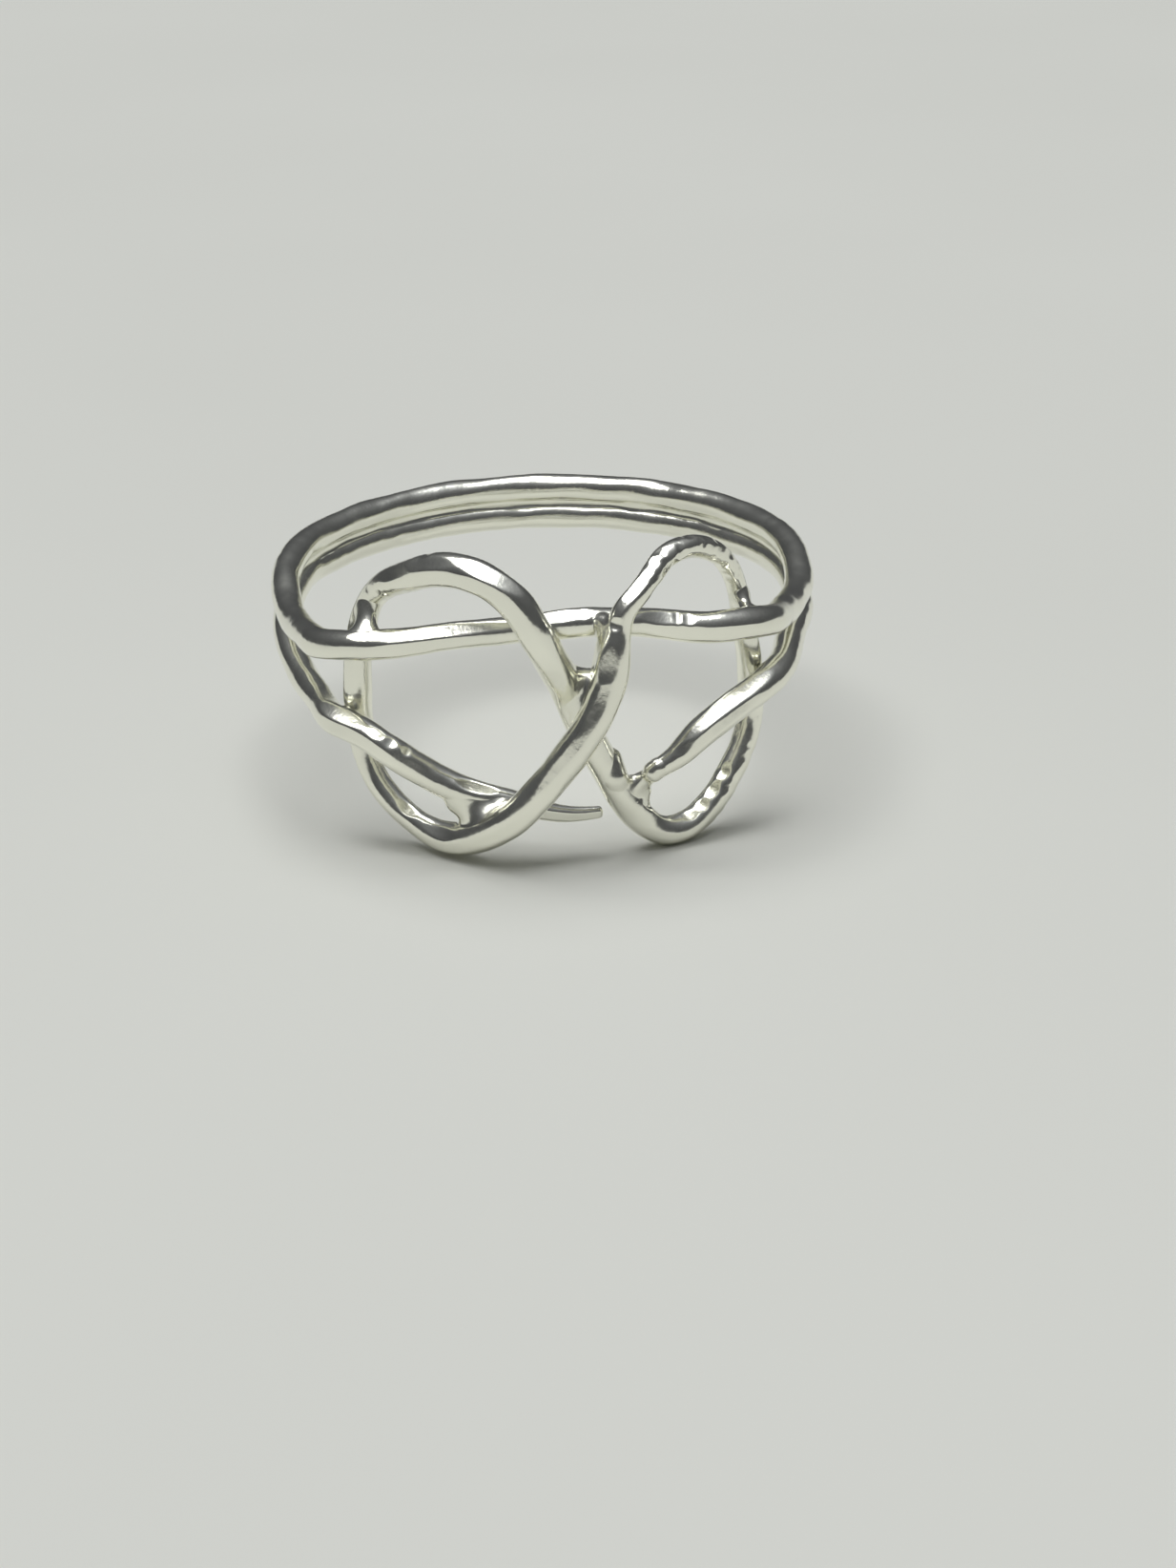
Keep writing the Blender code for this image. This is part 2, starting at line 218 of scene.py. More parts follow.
FIGURE_EIGHT = [
    (16.6, 2.4, LOOP_OVER_RAIL, 0.42),
    (15.5, 1.8, LOOP_OVER_RAIL, 0.45),
    (14.5, 1.1, LOOP_OVER_RAIL, 0.56),
    (13.2, -0.05, 1.14, 0.6),
    (10.2, -1.3, LOOP_OVER_LOOP, 0.6),
    (6.6, -2.3, LOOP_OVER_LOOP, 0.6),
    (3.0, -3.25, 1.15, 0.6),
    (-0.8, -4.12, 1.08, 0.6),
    (-5.2, -4.97, 0.98, 0.6),
    (-10.5, -5.7, 0.62, 0.6),
    (-16.5, -6.22, 0.2, 0.6),
    (-22.5, -6.27, 0.03, 0.54),
    (-28.5, -5.98, 0.0, 0.47),
    (-35.0, -5.3, 0.0, 0.45),
    (-40.0, -4.3, 0.0, 0.46),
    (-42.3, -3.0, 0.0, 0.48),
    (-42.4, -1.0, 0.0, 0.5),
    (-40.8, 0.9, 0.02, 0.45),
    (-37.8, 1.95, 0.0, 0.45),
    (-33.5, 2.7, 0.05, 0.48),
    (-27.0, 3.3, 0.15, 0.55),
    (-20.5, 3.72, 0.35, 0.59),
    (-14.0, 3.88, 0.65, 0.59),
    (-8.0, 3.65, 0.95, 0.6),
    (-3.0, 2.85, LOOP_OVER_RAIL, 0.6),
    (0.4, 1.75, LOOP_OVER_RAIL, 0.6),
    (3.6, 0.5, 0.6, 0.6),
    (6.4, -0.75, 0.1, 0.6),
    (9.2, -2.05, 0.0, 0.57),
    (13.0, -3.4, 0.0, 0.55),
    (16.2, -4.5, 0.0, 0.54),
    (20.5, -5.6, 0.0, 0.54),
    (27.0, -6.43, 0.0, 0.52),
    (33.5, -6.4, 0.0, 0.52),
    (40.4, -5.7, 0.0, 0.5),
    (47.0, -4.6, 0.0, 0.48),
    (51.6, -3.3, 0.0, 0.47),
    (52.3, -1.8, 0.0, 0.46),
    (50.3, 0.0, 0.02, 0.42),
    (48.2, 1.6, 0.05, 0.36),
    (44.1, 2.95, 0.05, 0.37),
    (38.0, 3.74, 0.03, 0.4),
    (31.5, 3.93, 0.1, 0.41),
    (26.3, 3.72, 0.32, 0.4),
    (22.0, 3.24, 0.75, 0.39),
    (19.0, 2.85, 1.0, 0.4),
]

# Directions that a filed face points in, in world axes. From the front and above, the first two mirror
# the overhead light, the third a dim room and the last two the floor.
TO_LIGHT = (-0.05, -0.46, 0.7)
TO_SOFT_LIGHT = (0.0, -0.66, 0.66)
TO_VIEWER = (0.0, -0.9, 0.42)
TO_GROUND = (0.0, -0.95, -0.1)
TO_LOW_LEFT = (-0.3, -0.95, 0.03)

# File marks: (angle, height) on the wire, the direction the face points in, then its length along
# the wire and its depth in millimetres.
UPPER_RAIL_MARKS = [
    ((-20, 1.2), TO_SOFT_LIGHT, 6.4, 0.07),
    ((-33, 0.85), TO_LIGHT, 1.4, 0.05),
    ((-24, 1.08), TO_GROUND, 5.6, 0.05),
    ((5, 1.75), TO_LIGHT, 2.6, 0.05),
    ((9.5, 1.78), (0.3, -0.4, 0.7), 0.5, 0.06),
    ((26, 1.4), TO_SOFT_LIGHT, 1.6, 0.06),
    ((29, 1.3), (0.3, -0.5, 0.6), 0.4, 0.07),
    ((31, 1.22), (-0.2, -0.5, 0.6), 0.5, 0.06),
    ((33, 1.2), TO_GROUND, 4.2, 0.06),
]
LOWER_RAIL_MARKS = [
    ((-40.5, -2.3), (-0.25, -0.44, 0.86), 2.0, 0.08),
    ((-33, -2.65), (0.1, -0.5, 0.7), 0.6, 0.05),
    ((-30.5, -2.9), (-0.05, -0.5, 0.7), 0.4, 0.05),
    ((-28, -3.2), (0.1, -0.5, 0.7), 0.35, 0.05),
    ((-26, -3.5), TO_VIEWER, 2.4, 0.03),
    ((-36, -2.45), TO_GROUND, 4.0, 0.05),
    ((-14, -4.6), TO_LIGHT, 1.6, 0.06),
    ((39, -1.95), (-0.08, -0.7, 0.71), 4.2, 0.11),
    ((29, -3.0), TO_VIEWER, 0.9, 0.05),
    ((36, -2.15), TO_GROUND, 4.0, 0.06),
    ((5, -5.4), TO_GROUND, 4.0, 0.05),
]
FIGURE_EIGHT_MARKS = [
    ((13.8, 0.6), (-0.3, -0.95, 0.1), 1.5, 0.1),
    ((15.7, 2.0), (-0.3, -0.7, 0.6), 0.5, 0.08),
    ((11.0, -1.0), TO_LOW_LEFT, 5.0, 0.055),
    ((6.0, -2.5), TO_LOW_LEFT, 5.4, 0.06),
    ((0.2, -3.9), TO_GROUND, 5.4, 0.05),
    ((-4.0, -4.8), TO_GROUND, 4.0, 0.05),
    ((18.8, 2.8), (-0.23, -0.66, 0.72), 1.9, 0.07),
    ((22.4, 3.25), (-0.08, -0.57, 0.82), 0.6, 0.07),
    ((-9.0, 3.75), (-0.05, -0.56, 0.82), 2.1, 0.09),
    ((-19, 3.8), (-0.05, -0.75, 0.6), 2.2, 0.05),
    ((-27, 3.35), (-0.25, -0.75, 0.5), 1.6, 0.06),
    ((-28.5, 3.2), (-0.2, -0.55, 0.75), 0.14, 0.03),
    ((-25.5, 3.42), (-0.2, -0.6, 0.72), 0.16, 0.035),
    ((-21.5, 3.68), (-0.1, -0.6, 0.72), 0.14, 0.03),
    ((-18, 3.8), TO_GROUND, 5.0, 0.06),
    ((-1.0, 2.2), (-0.1, -0.98, -0.15), 5.5, 0.05),
    ((-31, -5.8), (0.13, -0.62, 0.77), 1.1, 0.06),
    ((-22, -6.3), (0.0, -0.85, 0.5), 2.0, 0.04),
    ((33, -6.4), (0.03, -0.5, 0.86), 0.8, 0.05),
    ((37, -6.1), (-0.17, -0.6, 0.79), 0.7, 0.07),
    ((40.5, -5.65), (-0.24, -0.65, 0.72), 0.8, 0.07),
    ((44, -5.1), (-0.27, -0.69, 0.67), 0.7, 0.06),
]
# Stretches of the figure-of-eight with close hammering: from (angle, height) to (angle, height), the
# number of blows, and their usual depth in millimetres.
HAMMERED = [
    ((-36, 2.3), (-18, 3.8), 26, 0.022),
    ((46, 2.4), (21, 3.1), 60, 0.038),
    ((52, -3.0), (36, -6.2), 26, 0.024),
    ((14, -3.7), (20, -5.5), 8, 0.014),
]

# The wires: route, whether it is a hoop, file marks, hammered stretches and seed.
WIRES = {
    "upper_rail": (UPPER_RAIL, True, UPPER_RAIL_MARKS, [], 3),
    "lower_rail": (LOWER_RAIL, False, LOWER_RAIL_MARKS, [], 5),
    "figure_eight": (FIGURE_EIGHT, True, FIGURE_EIGHT_MARKS, HAMMERED, 7),
}

# The solder joints: (angle, height, distance from the axis), how far the solder goes from there, its
# fillet's radius, the two wires with the (angle, height) where each is wetted, and rods of extra solder
# as (start, end, radius, fillet).
SOLDER_JOINTS = {
    "solder_left_corner": (
        (-36.6, 1.4, 9.95), 1.5, 0.45, ("figure_eight", (-38, 1.95)), ("upper_rail", (-37, 0.75)),
        [((-37.9, 1.7, 9.68), (-36.4, 1.15, 10.15), 0.28, 0.45),
         ((-36.2, 1.85, 9.75), (-35.0, 1.3, 10.1), 0.24, 0.45)],
    ),
    "solder_left_side": (
        (-42.4, -2.6, 10.0), 0.95, 0.3, ("figure_eight", (-42.4, -2.5)), ("lower_rail", (-42, -2.3)),
        [],
    ),
    "solder_left_foot": (
        (-13.8, -5.1, 9.8), 2.1, 0.7, ("figure_eight", (-14, -6.05)), ("lower_rail", (-14, -4.6)),
        [((-17.8, -4.95, 9.6), (-10.5, -5.4, 9.85), 0.38, 0.5)],
    ),
    "solder_crossing": (
        (9.0, -0.5, 9.9), 2.0, 0.55, ("figure_eight", (11.5, -0.9)), ("figure_eight", (6.6, -0.85)),
        [((7.0, -0.15, 9.75), (12.0, -0.1, 9.85), 0.32, 0.5),
         ((7.8, -0.95, 9.8), (10.8, -0.8, 9.95), 0.34, 0.45)],
    ),
    "solder_crossing_top": (
        (13.0, 1.2, 10.1), 1.6, 0.3, ("figure_eight", (14.6, 1.2)), ("upper_rail", (14, 1.75)),
        [((13.3, 1.9, 9.95), (15.0, 1.9, 10.4), 0.3, 0.25),
         ((13.9, 1.6, 10.25), (12.0, 0.15, 10.15), 0.32, 0.35)],
    ),
    "solder_right_shoulder": (
        (46.8, 1.35, 9.85), 1.4, 0.5, ("figure_eight", (48.0, 1.75)), ("upper_rail", (46.5, 0.92)),
        [((47.9, 1.6, 9.55), (46.4, 1.3, 9.98), 0.2, 0.45)],
    ),
    "solder_right_side": (
        (51.5, -1.9, 9.95), 0.95, 0.3, ("figure_eight", (52.2, -2.0)), ("lower_rail", (51, -1.4)),
        [],
    ),
    "solder_right_end": (
        (18.9, -4.4, 9.8), 2.1, 0.35, ("figure_eight", (17.5, -4.9)), ("lower_rail", (23, -4.0)),
        [((22.4, -4.15, 9.75), (18.0, -4.6, 9.4), 0.3, 0.35),
         ((22.3, -4.75, 9.5), (21.6, -5.4, 9.3), 0.26, 0.4),
         ((22.6, -3.74, 10.22), (23.4, -3.62, 10.26), 0.35, 0.15),
         ((15.2, -3.35, 9.5), (15.5, -3.9, 9.78), 0.36, 0.35)],
    ),
}


def on_finger(angle, height, radius):
    """The point at this angle round the finger, height and distance from its axis."""
    turn = radians(angle)
    return np.array([radius * sin(turn), -radius * cos(turn), height])


def smooth_rows(rows, closed):
    """Points (x, y, z, wire radius) and the slopes of a cubic spline through them, by chord length."""
    points = np.array([[*on_finger(a, h, BORE_RADIUS + r + lift), r] for a, h, lift, r in rows])
    if closed:
        points = np.vstack([points, points[:1]])
    spans = np.linalg.norm(np.diff(points[:, :3], axis=0), axis=1)
    count = len(points)
    system = np.zeros((count, count))
    right = np.zeros((count, 4))
    for i in range(1, count - 1):
        before, after = 1 / spans[i - 1], 1 / spans[i]
        system[i, i - 1 : i + 2] = before, 2 * (before + after), after
        right[i] = 3 * (before**2 * (points[i] - points[i - 1]) + after**2 * (points[i + 1] - points[i]))
    first, last = 1 / spans[0], 1 / spans[-1]
    if closed:
        system[0, [0, 1, count - 2]] = 2 * (first + last), first, last
        right[0] = 3 * (last**2 * (points[0] - points[-2]) + first**2 * (points[1] - points[0]))
        system[-1, [0, -1]] = 1, -1
    else:
        system[0, :2] = 2, 1
        right[0] = 3 * first * (points[1] - points[0])
        system[-1, -2:] = 1, 2
        right[-1] = 3 * last * (points[-1] - points[-2])
    return points, spans, np.linalg.solve(system, right)


def along(rows, closed, step):
    """Samples (x, y, z, wire radius) about one step apart along a route."""
    points, spans, slopes = smooth_rows(rows, closed)
    knots = np.concatenate([[0], np.cumsum(spans)])
    places = np.linspace(0, knots[-1], round(knots[-1] / step) + 1)
    if closed:
        places = places[:-1]
    index = np.clip(np.searchsorted(knots, places, side="right") - 1, 0, len(spans) - 1)
    span = spans[index][:, None]
    t = (places - knots[index])[:, None] / span
    start, end = points[index], points[index + 1]
    return (
        start * (2 * t**3 - 3 * t**2 + 1)
        + slopes[index] * span * (t**3 - 2 * t**2 + t)
        + end * (3 * t**2 - 2 * t**3)
        + slopes[index + 1] * span * (t**3 - t**2)
    )


class Wire:
    """A round wire along a route, with its skin as a radius for each place and turn."""

    def __init__(self, rows, closed, marks, hammered, seed):
        self.closed = closed
        path = along(rows, closed, PATH_STEP)
        self.centre, self.base = path[:, :3], path[:, 3]
        if closed:
            tangent = np.roll(self.centre, -1, axis=0) - np.roll(self.centre, 1, axis=0)
        else:
            tangent = np.gradient(self.centre, axis=0)
        samples_spanned = 2 if closed else 1
        self.step = np.linalg.norm(tangent, axis=1).mean() / samples_spanned
        self.tangent = tangent / np.linalg.norm(tangent, axis=1)[:, None]
        outward = self.centre * (1, 1, 0)
        outward -= (outward * self.tangent).sum(axis=1)[:, None] * self.tangent
        self.outward = outward / np.linalg.norm(outward, axis=1)[:, None]
        self.sideways = np.cross(self.tangent, self.outward)
        chance = np.random.default_rng(seed)
        self.waves = self.make_waves(chance)
        self.flats = [self.flat(place, facing, length, depth) for place, facing, length, depth in marks]
        for start, end, blows, depth in hammered:
            self.flats += self.hammer(start, end, blows, depth, chance)

    def nearest(self, angle, height):
        """The sample nearest this angle and height."""
        turns = np.degrees(np.arctan2(self.centre[:, 0], -self.centre[:, 1]))
        off = (turns - angle + 180) % 360 - 180
        return int(np.hypot(off * DEGREE_LENGTH, self.centre[:, 2] - height).argmin())

    def make_waves(self, chance):
        """Slow waves of the skin as (waves along the wire, waves round it, phase, height)."""
        length = len(self.centre) * self.step
        waves = []
        for _ in range(WAVE_COUNT):
            size = chance.uniform(*WAVE_LENGTHS)
            round_waves = chance.integers(0, MOST_ROUND_WAVES)
            phase = chance.uniform(0, 2 * pi)
            waves.append((round(length / size), round_waves, phase, WAVE_HEIGHT * size**WAVE_GROWTH))
        return waves

    def flat(self, place, facing, length, depth):
        """A flat of the skin: sample index, turn, half length in samples and depth."""
        i = self.nearest(*place)
        turn = np.arctan2(facing @ self.sideways[i], facing @ self.outward[i])
        return i, turn, length / 2 / self.step, depth

    def hammer(self, start, end, blows, depth, chance):
        """Small hollows scattered over a stretch, on the side away from the finger."""
        ends = sorted((self.nearest(*start), self.nearest(*end)))
        made = []
        for _ in range(blows):
            half = chance.uniform(*BLOW_HALF_LENGTHS) / self.step
            turn = chance.uniform(-BLOW_TURN, BLOW_TURN)
            made.append((chance.uniform(*ends), turn, half, depth * chance.uniform(*BLOW_DEPTHS)))
        return made

    def radius(self, place, turn):
        """Skin radius at sample positions (fractions allowed) and turns, of any matching shape."""
        count = len(self.base)
        if self.closed:
            base = np.interp(place % count, np.arange(count + 1), np.append(self.base, self.base[0]))
        else:
            base = np.interp(place, np.arange(count), self.base)
        skin = base.copy()
        for waves, round_waves, phase, height in self.waves:
            skin += height * np.cos(2 * pi * waves * place / count + round_waves * turn + phase) * base
        for middle, facing, half, depth in self.flats:
            off = place - middle
            if self.closed:
                off = (off + count / 2) % count - count / 2
            near = np.abs(off) < FLAT_REACH * half
            if not near.any():
                continue
            lean = np.cos(turn[near] - facing)
            sink = depth * (1 - (off[near] / half) ** 2)
            plane = (base[near] - sink) / np.maximum(lean, LEAST_LEAN)
            skin[near] = softer_min(skin[near], plane, EDGE_WEAR)
        return skin

    def skin_points(self):
        """The skin as rings of points, rounded off at an open end."""
        count = len(self.centre)
        place = np.repeat(np.arange(count, dtype=float)[:, None], SECTION_POINTS, axis=1)
        turn = np.repeat(np.linspace(0, 2 * pi, SECTION_POINTS, endpoint=False)[None], count, axis=0)
        radius = self.radius(place, turn)
        across = np.cos(turn)[..., None] * self.outward[:, None]
        ring = across + np.sin(turn)[..., None] * self.sideways[:, None]
        points = self.centre[:, None] + radius[..., None] * ring
        if not self.closed:
            points = np.concatenate([self.dome(points, 0), points, self.dome(points, count - 1)])
        return points

    def dome(self, points, end):
        """Rings that round off an open end."""
        way = -self.tangent[end] if end == 0 else self.tangent[end]
        rings = []
        for lean in np.linspace(0, pi / 2, DOME_RINGS + 2)[1:-1]:
            centre = self.centre[end] + way * self.base[end] * DOME_HEIGHT * sin(lean)
            rings.append(centre + (points[end] - self.centre[end]) * cos(lean))
        return np.array(rings[::-1] if end == 0 else rings)

    def distance(self, points, near):
        """Distance from the skin to points, for the stretch of wire round one place."""
        count, half = len(self.centre), int(STRETCH / self.step)
        run = np.arange(self.nearest(*near) - half, self.nearest(*near) + half + 1)
        run = run % count if self.closed else run[(run >= 0) & (run < count)]
        out = np.empty(len(points))
        for first in range(0, len(points), BATCH):
            part = points[first : first + BATCH]
            gap = ((part[:, None] - self.centre[run][None]) ** 2).sum(axis=2)
            at = run[gap.argmin(axis=1)]
            offset = part - self.centre[at]
            beyond = (offset * self.tangent[at]).sum(axis=1)
            ends = np.zeros(len(part))
            if not self.closed:
                ends = np.where((at == 0) | (at == count - 1), np.abs(beyond), 0.0)
                beyond = np.where((at == 0) | (at == count - 1), 0.0, beyond)
            x = (offset * self.outward[at]).sum(axis=1)
            y = (offset * self.sideways[at]).sum(axis=1)
            skin = self.radius(at + beyond / self.step, np.arctan2(y, x))
            out[first : first + BATCH] = np.hypot(np.hypot(x, y), ends / DOME_HEIGHT) - skin
        return out


def softer_min(a, b, width):
    """The lower of two values, with the change from one to the other rounded over this width."""
    mix = np.clip(0.5 + (b - a) / (2 * width), 0, 1)
    return b + (a - b) * mix - width * mix * (1 - mix)


def round_union(a, b, radius):
    """Union of two solids, given as distances, with a round fillet of this radius between them."""
    near = np.hypot(np.maximum(radius - a, 0), np.maximum(radius - b, 0))
    return np.maximum(radius, np.minimum(a, b)) - near


def grid_mesh(name, points, closed):
    """A closed skin over rings of points, in millimetres, with a point at each end of an open one."""
    rings, around = points.shape[:2]
    vertices = points.reshape(-1, 3)
    ring = np.arange(rings if closed else rings - 1)
    this, following = np.meshgrid(ring, np.arange(around), indexing="ij")
    a = this * around + following
    b = this * around + (following + 1) % around
    c = ((this + 1) % rings) * around + (following + 1) % around
    d = ((this + 1) % rings) * around + following
    faces = np.stack([a, b, c, d], axis=-1).reshape(-1, 4).tolist()
    if not closed:
        vertices = np.vstack([vertices, points[0].mean(axis=0), points[-1].mean(axis=0)])
        last = (rings - 1) * around
        for k in range(around):
            other = (k + 1) % around
            faces.append([other, k, len(vertices) - 2])
            faces.append([last + k, last + other, len(vertices) - 1])
    return mesh_of(name, vertices, faces)


def mesh_of(name, vertices, faces):
    """A smooth mesh of these points, in millimetres, with its faces turned outwards."""
    mesh = bpy.data.meshes.new(name)
    mesh.from_pydata((vertices * MM).tolist(), [], faces)
    mesh.calc_loop_triangles()
    triangles = np.empty(len(mesh.loop_triangles) * 3, np.int32)
    mesh.loop_triangles.foreach_get("vertices", triangles)
    tri = vertices[triangles.reshape(-1, 3)]
    if np.einsum("ij,ij->i", tri[:, 0], np.cross(tri[:, 1], tri[:, 2])).sum() < 0:
        mesh.flip_normals()
    mesh.shade_smooth()
    return mesh


def add_piece(name, mesh, material, slot, *nodes):
    """A visible piece that stands for these CAD nodes."""
    obj = bpy.data.objects.new(name, mesh)
    bpy.context.scene.collection.objects.link(obj)
    mesh.materials.append(material)
    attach(obj, "root")
    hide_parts(*nodes)


def surface_of(values, low, cell):
    """Vertices and quads of the surface where a grid of values crosses zero, one vertex to a cell."""
    inside = values < 0
    shape = np.array(values.shape) - 1
    total = np.zeros((*shape, 3))
    hits = np.zeros(shape)
    corner = [(i, j, k) for i in (0, 1) for j in (0, 1) for k in (0, 1)]
    for a in corner:
        for axis in range(3):
            if a[axis]:
                continue
            b = tuple(v + (n == axis) for n, v in enumerate(a))
            one = tuple(slice(v, v + s) for v, s in zip(a, shape))
            two = tuple(slice(v, v + s) for v, s in zip(b, shape))
            crossed = inside[one] != inside[two]
            with np.errstate(divide="ignore", invalid="ignore"):
                share = np.where(crossed, values[one] / (values[one] - values[two]), 0)
            for n in range(3):
                total[..., n] += np.where(crossed, a[n] + share * (n == axis), 0)
            hits += crossed
    used = hits > 0
    number = np.full(shape, -1)
    number[used] = np.arange(used.sum())
    vertices = (np.argwhere(used) + total[used] / hits[used][:, None]) * cell + low
    faces = []
    for axis in range(3):
        u, v = [n for n in range(3) if n != axis]
        one, two = [slice(None)] * 3, [slice(None)] * 3
        one[axis], two[axis] = slice(0, -1), slice(1, None)
        places = np.argwhere(inside[tuple(one)] != inside[tuple(two)])
        within = (places[:, u] > 0) & (places[:, v] > 0)
        places = places[within & (places[:, u] < shape[u]) & (places[:, v] < shape[v])]
        cells = []
        for du, dv in ((-1, -1), (0, -1), (0, 0), (-1, 0)):
            at = places.copy()
            at[:, u] += du
            at[:, v] += dv
            cells.append(number[tuple(at.T)])
        quads = np.stack(cells, axis=1)
        turned = inside[tuple(places.T)] == (axis == 1)
        quads[turned] = quads[turned][:, ::-1]
        faces += quads.tolist()
    return vertices, faces


def to_capsule(points, start, end, radius):
    """Distance from points to a rod with round ends."""
    a, b = on_finger(*start), on_finger(*end)
    share = np.clip((points - a) @ (b - a) / max((b - a) @ (b - a), 1e-9), 0, 1)
    return np.linalg.norm(points - a - share[:, None] * (b - a), axis=1) - radius


def add_solder(name, place, reach, fillet, wetted, rods, material, seed):
    """Solder drawn into the corner between two stretches of wire."""
    middle = on_finger(*place)
    low = middle - reach - 2 * SOLDER_CELL
    count = int(np.ceil(2 * (reach + 2 * SOLDER_CELL) / SOLDER_CELL)) + 1
    steps = [low[n] + SOLDER_CELL * np.arange(count) for n in range(3)]
    everywhere = np.stack(np.meshgrid(*steps, indexing="ij"), axis=-1).reshape(-1, 3)
    away = np.linalg.norm(everywhere - middle, axis=1)
    value = away - reach
    near = away < reach + SOLDER_CELL
    points, off = everywhere[near], away[near]
    chance = np.random.default_rng(seed)
    ripple = np.zeros(len(points))
    for _ in range(RIPPLE_COUNT):
        way = chance.normal(size=3) * RIPPLE_WAVES
        ripple += RIPPLE_HEIGHT * np.cos(points @ way + chance.uniform(0, 2 * pi))
    a, b = (wire.distance(points, where) + TUCK for wire, where in wetted)
    wetting = np.clip(1 - (off / reach) ** 2, 0, 1)
    body = round_union(a, b, np.maximum(fillet * wetting**FILLET_FADE, LEAST_FILLET))
    for start, end, radius, blend in rods:
        rod = to_capsule(points, start, end, radius)
        body = round_union(body, rod, np.maximum(blend * wetting, LEAST_FILLET))
    value[near] = np.maximum(body + ripple * wetting, off - reach)
    vertices, faces = surface_of(value.reshape((count,) * 3), low, SOLDER_CELL)
    add_piece(name + "_fillet", mesh_of(name, vertices, faces), material, "solder", name)


def passing(wire, angle):
    """Where a rail passes this angle: (distance from the axis, height) and the wire's radius."""
    turns = np.degrees(np.arctan2(wire.centre[:, 0], -wire.centre[:, 1]))
    off = np.abs((turns - angle + 180) % 360 - 180)
    pair = np.argsort(off)[:2]
    weight = off[pair][::-1] / off[pair].sum()
    reach = np.hypot(wire.centre[pair, 0], wire.centre[pair, 1])
    return np.array([weight @ reach, weight @ wire.centre[pair, 2]]), weight @ wire.base[pair]


def seam_section(upper, lower, angle, spread):
    """Solder between the stacked rails: an arc inside each wire and a hollow fillet on either side."""
    (above, above_radius), (below, below_radius) = passing(upper, angle), passing(lower, angle)
    turn = radians(spread)
    swing = np.linspace(-turn, turn, SEAM_ARC_POINTS)
    top = above + (above_radius - TUCK) * np.stack([np.sin(swing), -np.cos(swing)], axis=1)
    bottom = below + (below_radius - TUCK) * np.stack([-np.sin(swing), np.cos(swing)], axis=1)
    section = []
    for arc, following in ((top, bottom), (bottom, top)):
        start, end = arc[-1], following[0]
        middle = (start + end) / 2
        half_width = start[0] - arc[SEAM_ARC_POINTS // 2, 0]
        tangent_dip = abs(start[1] - end[1]) / 2 * cos(turn) / sin(turn)
        middle[0] -= np.sign(half_width) * min(tangent_dip, SEAM_MOST_DIP * abs(half_width))
        section += list(arc)
        for t in np.linspace(0, 1, SEAM_FILLET_POINTS)[1:-1]:
            section.append((1 - t) ** 2 * start + 2 * t * (1 - t) * middle + t**2 * end)
    return np.array([on_finger(angle, height, reach) for reach, height in section])


def add_seam(upper, lower, material):
    """Solder between the rails round the back, wavering in width and running out at the two forks."""
    chance = np.random.default_rng(SEAM_SEED)
    waves = [
        (chance.integers(*SEAM_WAVES), chance.uniform(0, 2 * pi), chance.uniform(*SEAM_WAVE_SIZES))
        for _ in range(SEAM_WAVE_COUNT)
    ]
    sections = []
    for angle in np.arange(SEAM_START, SEAM_END, SEAM_STEP):
        left = min(angle - SEAM_START, SEAM_END - angle) / SEAM_RUN_OUT
        waver = sum(size * sin(count * radians(angle) + phase) for count, phase, size in waves)
        widening = min(left, 1.0) ** SEAM_RUN_OUT_SHAPE
        spread = SEAM_END_SPREAD + (SEAM_SPREAD - SEAM_END_SPREAD + SEAM_WAVER * waver) * widening
        sections.append(seam_section(upper, lower, angle, spread))
    mesh = grid_mesh("solder_shank_seam", np.array(sections), False)
    add_piece("solder_shank_seam_fillet", mesh, material, "solder", "solder_shank_seam")


# ---- materials ----


class Graph:
    """A small helper that builds a shader's nodes and links them by name."""

    def __init__(self, name):
        self.material = bpy.data.materials.new(name)
        self.material.use_nodes = True
        self.tree = self.material.node_tree
        self.shader = self.tree.nodes["Principled BSDF"]

    def node(self, kind, inputs=None, **settings):
        """A node of this kind; an input is another node's socket or a value."""
        made = self.tree.nodes.new(kind)
        for key, value in settings.items():
            setattr(made, key, value)
        for key, value in (inputs or {}).items():
            if isinstance(value, bpy.types.NodeSocket):
                self.tree.links.new(value, made.inputs[key])
            else:
                made.inputs[key].default_value = value
        return made

    def ramp(self, fac, stops):
        """A ramp through stops of (position, colour or grey)."""
        made = self.node("ShaderNodeValToRGB", {"Fac": fac})
        while len(made.color_ramp.elements) < len(stops):
            made.color_ramp.elements.new(0.5)
        for element, (position, value) in zip(made.color_ramp.elements, stops):
            element.position = position
            element.color = (*value, 1) if isinstance(value, tuple) else (value, value, value, 1)
        return made.outputs["Color"]

    def to_shader(self, socket, output):
        self.tree.links.new(output, self.shader.inputs[socket])


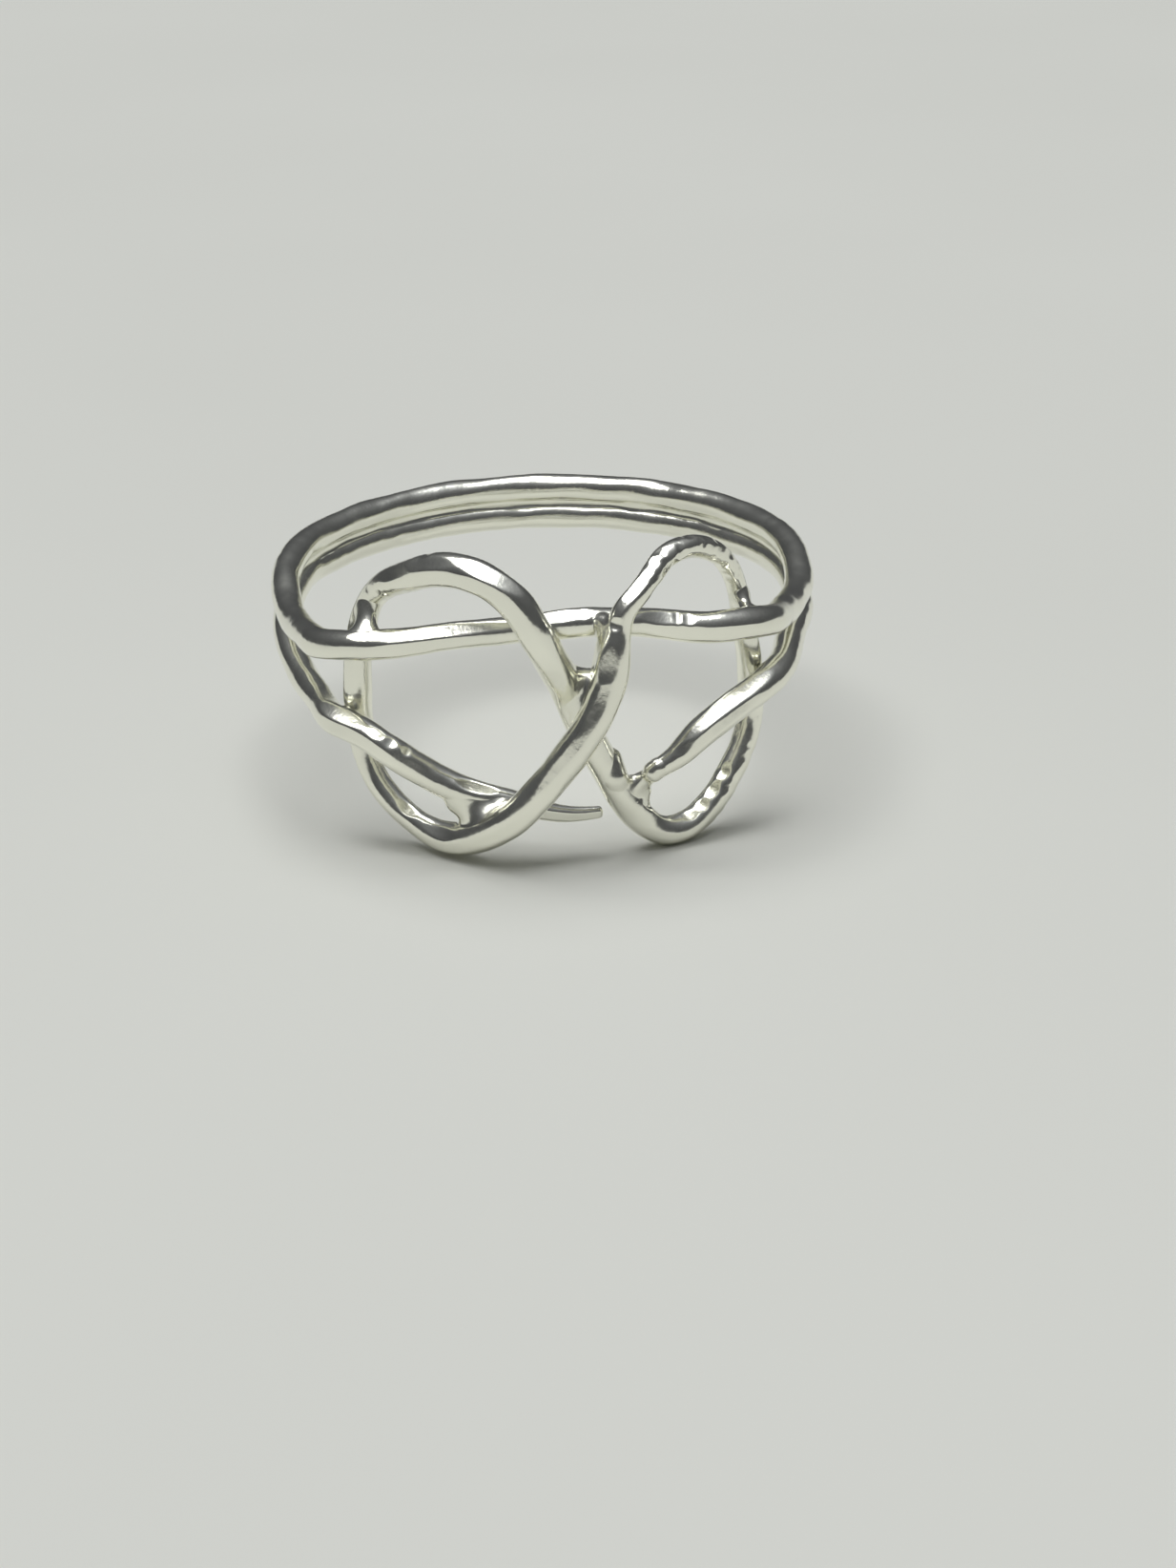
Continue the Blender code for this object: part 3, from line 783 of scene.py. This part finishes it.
def silver(name, colour, low_roughness, high_roughness, scratch):
    """Worn silver: patchy tint and roughness, fine scratches, nicks and small dents."""
    g = Graph(name)
    g.shader.inputs["Metallic"].default_value = 1.0
    where = g.node("ShaderNodeTexCoord").outputs["Object"]

    def noise(vector, scale, detail):
        made = g.node("ShaderNodeTexNoise", {"Vector": vector, "Scale": scale, "Detail": detail})
        return made.outputs["Fac"]

    def stretched(stretch, lean):
        made = g.node("ShaderNodeMapping", {"Vector": where, "Scale": stretch, "Rotation": lean})
        return made.outputs["Vector"]

    cloud = noise(where, ROUGHNESS_SCALE, 4.0)
    broad = noise(where, TINT_SCALE, 3.0)
    dull, bright = TINT_SPREAD
    tint = g.ramp(broad, [(dull, tuple(c * DARKER_TINT for c in colour)), (bright, colour)])
    g.to_shader("Base Color", tint)
    rough = g.node("ShaderNodeMapRange", {
        "Value": cloud, "From Min": ROUGHNESS_SPREAD[0], "From Max": ROUGHNESS_SPREAD[1],
        "To Min": low_roughness, "To Max": high_roughness,
    })
    g.to_shader("Roughness", rough.outputs["Result"])
    lines = noise(stretched(SCRATCH_STRETCH, SCRATCH_LEAN), 1.0, 2.0)
    fine = g.node("ShaderNodeBump", {"Height": lines, "Strength": scratch, "Distance": SCRATCH_DEPTH})
    crossed = stretched(NICK_STRETCH, NICK_LEAN)
    nicks = g.node("ShaderNodeTexVoronoi", {"Vector": crossed, "Scale": NICK_SCALE}).outputs["Distance"]
    cut = g.ramp(nicks, [(0.0, 0.0), (NICK_WIDTH, 1.0)])
    nick = g.node("ShaderNodeBump", {
        "Height": cut, "Strength": NICK_STRENGTH, "Distance": NICK_DEPTH,
        "Normal": fine.outputs["Normal"],
    })
    dent = noise(where, DENT_SCALE, 3.0)
    bump = g.node("ShaderNodeBump", {
        "Height": dent, "Strength": DENT_STRENGTH, "Distance": DENT_DEPTH,
        "Normal": nick.outputs["Normal"],
    })
    g.to_shader("Normal", bump.outputs["Normal"])
    return g.material


def add_floor(height):
    """A plain pale floor at this height, in metres."""
    mesh = bpy.data.meshes.new("floor")
    corners = [(x * FLOOR_HALF, y * FLOOR_HALF, height) for x, y in ((-1, -1), (1, -1), (1, 1), (-1, 1))]
    mesh.from_pydata(corners, [], [(0, 1, 2, 3)])
    g = Graph("pale_floor")
    where = g.node("ShaderNodeTexCoord").outputs["Object"]
    cloud = g.node("ShaderNodeTexNoise", {"Vector": where, "Scale": FLOOR_SCALE, "Detail": 3.0})
    g.to_shader("Base Color", g.ramp(cloud.outputs["Fac"], FLOOR_TONES))
    g.shader.inputs["Roughness"].default_value = FLOOR_ROUGHNESS
    floor = bpy.data.objects.new("floor", mesh)
    bpy.context.scene.collection.objects.link(floor)
    mesh.materials.append(g.material)


def add_studio():
    """A dim room that brightens towards a wide soft lamp overhead."""
    world = bpy.data.worlds.new("studio")
    bpy.context.scene.world = world
    world.use_nodes = True
    tree = world.node_tree
    where = tree.nodes.new("ShaderNodeTexCoord")
    split = tree.nodes.new("ShaderNodeSeparateXYZ")
    ramp = tree.nodes.new("ShaderNodeValToRGB")
    tree.links.new(where.outputs["Generated"], split.inputs["Vector"])
    tree.links.new(split.outputs["Z"], ramp.inputs["Fac"])
    tree.links.new(ramp.outputs["Color"], tree.nodes["Background"].inputs["Color"])
    elements = ramp.color_ramp.elements
    while len(elements) < len(ROOM_LIGHT):
        elements.new(0.5)
    for element, (height, level) in zip(elements, ROOM_LIGHT):
        element.position = height
        element.color = (*(level * tone for tone in ROOM_TONE), 1)
    lamp = bpy.data.lights.new("overhead_lamp", "SUN")
    lamp.energy = LAMP_ENERGY
    lamp.angle = radians(LAMP_ANGLE)
    obj = bpy.data.objects.new("overhead_lamp", lamp)
    obj.rotation_euler = Vector(LAMP_DIRECTION).to_track_quat("Z", "Y").to_euler()
    bpy.context.scene.collection.objects.link(obj)


def add_camera():
    """The camera, close in front of the ring and a little above it."""
    camera = bpy.data.cameras.new("camera")
    camera.sensor_width = CAMERA_SENSOR
    camera.lens = CAMERA_LENS
    camera.clip_start = CAMERA_NEAR
    obj = bpy.data.objects.new("camera", camera)
    right, up = Vector(CAMERA_RIGHT), Vector(CAMERA_UP)
    back = right.cross(up)
    obj.matrix_world = Matrix((right, up, back)).transposed().to_4x4()
    obj.location = CAMERA_PLACE
    bpy.context.scene.collection.objects.link(obj)
    bpy.context.scene.camera = obj


def main():
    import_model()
    cad_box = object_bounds()
    bpy.context.scene.view_settings.view_transform = "Standard"
    wire_silver = silver("silver_wire", *WIRE_SILVER)
    solder_silver = silver("silver_solder", *SOLDER_SILVER)
    wires = {name: Wire(*values) for name, values in WIRES.items()}
    for name, wire in wires.items():
        mesh = grid_mesh(name, wire.skin_points(), wire.closed)
        add_piece(name + "_wire", mesh, wire_silver, "silver", name)
    for seed, (name, (place, reach, fillet, first, second, rods)) in enumerate(SOLDER_JOINTS.items()):
        wetted = [(wires[wire], where) for wire, where in (first, second)]
        add_solder(name, place, reach, fillet, wetted, rods, solder_silver, seed)
    add_seam(wires["upper_rail"], wires["lower_rail"], solder_silver)
    add_floor(cad_box[0].z)
    add_studio()
    add_camera()


main()
